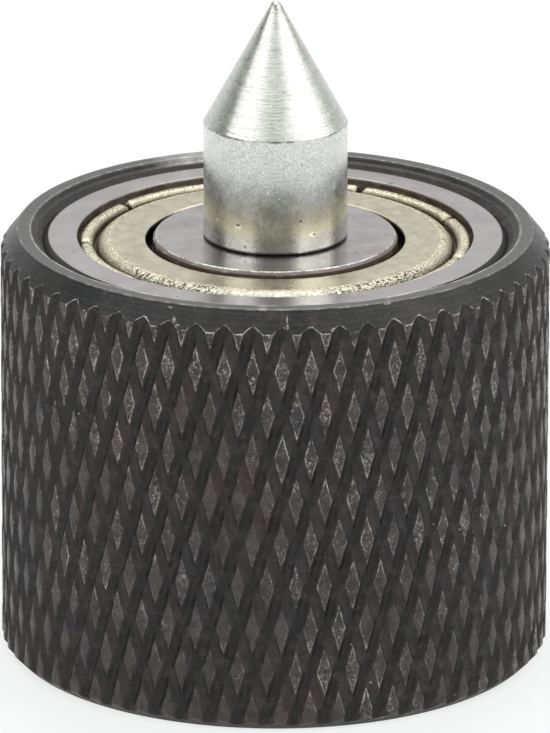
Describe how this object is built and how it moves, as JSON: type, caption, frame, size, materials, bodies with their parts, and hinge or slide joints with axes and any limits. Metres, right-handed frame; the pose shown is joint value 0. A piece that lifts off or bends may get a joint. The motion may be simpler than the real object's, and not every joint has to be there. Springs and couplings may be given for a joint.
{
  "type": "live center",
  "caption": "Screw-on live centre: knurled barrel with a shielded ball bearing in its mouth and a turned sixty degree point that spins in it.",
  "frame": {"origin": "centre of the barrel's flat rear face, which butts on the tailstock ram's shoulder", "axes": "+Z along the axis of rotation, out of the rear face towards the tip of the point"},
  "size_m": [0.026, 0.026, 0.0318],
  "materials": {
    "black_oxide_steel": "blackened steel, worn bright on the edges of the knurl",
    "bearing_steel": "ground bearing steel",
    "shield_steel": "pressed sheet with a pale gold tint",
    "point_steel": "fine turned",
    "clip_steel": "dark spring steel",
    "cage_steel": "pressed steel",
    "ball_steel": "polished"
  },
  "bodies": {
    "barrel_body": {"barrel": "black_oxide_steel", "bearing_outer_ring": "bearing_steel", "front_shield": "shield_steel", "rear_shield": "shield_steel"},
    "spindle": {"center_point": "point_steel", "bearing_inner_ring": "bearing_steel", "retaining_clip": "clip_steel"},
    "cage": {"cage_upper_half": "cage_steel", "cage_lower_half": "cage_steel", "cage_rivets": "cage_steel"},
    "ball_body_1": {"ball_1": "ball_steel"},
    "ball_body_2": {"ball_2": "ball_steel"},
    "ball_body_3": {"ball_3": "ball_steel"},
    "ball_body_4": {"ball_4": "ball_steel"},
    "ball_body_5": {"ball_5": "ball_steel"},
    "ball_body_6": {"ball_6": "ball_steel"},
    "ball_body_7": {"ball_7": "ball_steel"}
  },
  "joints": [
    {"name": "spindle_spin", "type": "hinge", "parent": "barrel_body", "child": "spindle", "pos_m": [0, 0, 0.01677], "axis": [0, 0, 1], "continuous": true},
    {"name": "cage_orbit", "type": "hinge", "parent": "barrel_body", "child": "cage", "pos_m": [0, 0, 0.01677], "axis": [0, 0, 1], "continuous": true},
    {"name": "ball_1_spin", "type": "hinge", "parent": "cage", "child": "ball_body_1", "pos_m": [0, 0.0072, 0.01677], "axis": [0, 0, 1], "continuous": true},
    {"name": "ball_2_spin", "type": "hinge", "parent": "cage", "child": "ball_body_2", "pos_m": [-0.00563, 0.00449, 0.01677], "axis": [0, 0, 1], "continuous": true},
    {"name": "ball_3_spin", "type": "hinge", "parent": "cage", "child": "ball_body_3", "pos_m": [-0.00702, -0.0016, 0.01677], "axis": [0, 0, 1], "continuous": true},
    {"name": "ball_4_spin", "type": "hinge", "parent": "cage", "child": "ball_body_4", "pos_m": [-0.00312, -0.00649, 0.01677], "axis": [0, 0, 1], "continuous": true},
    {"name": "ball_5_spin", "type": "hinge", "parent": "cage", "child": "ball_body_5", "pos_m": [0.00312, -0.00649, 0.01677], "axis": [0, 0, 1], "continuous": true},
    {"name": "ball_6_spin", "type": "hinge", "parent": "cage", "child": "ball_body_6", "pos_m": [0.00702, -0.0016, 0.01677], "axis": [0, 0, 1], "continuous": true},
    {"name": "ball_7_spin", "type": "hinge", "parent": "cage", "child": "ball_body_7", "pos_m": [0.00563, 0.00449, 0.01677], "axis": [0, 0, 1], "continuous": true}
  ],
  "couplings": [
    {"joint": "cage_orbit", "follows": "spindle_spin", "ratio": 0.36219},
    {"joint": "ball_1_spin", "follows": "spindle_spin", "ratio": -1.6762},
    {"joint": "ball_2_spin", "follows": "spindle_spin", "ratio": -1.6762},
    {"joint": "ball_3_spin", "follows": "spindle_spin", "ratio": -1.6762},
    {"joint": "ball_4_spin", "follows": "spindle_spin", "ratio": -1.6762},
    {"joint": "ball_5_spin", "follows": "spindle_spin", "ratio": -1.6762},
    {"joint": "ball_6_spin", "follows": "spindle_spin", "ratio": -1.6762},
    {"joint": "ball_7_spin", "follows": "spindle_spin", "ratio": -1.6762}
  ]
}
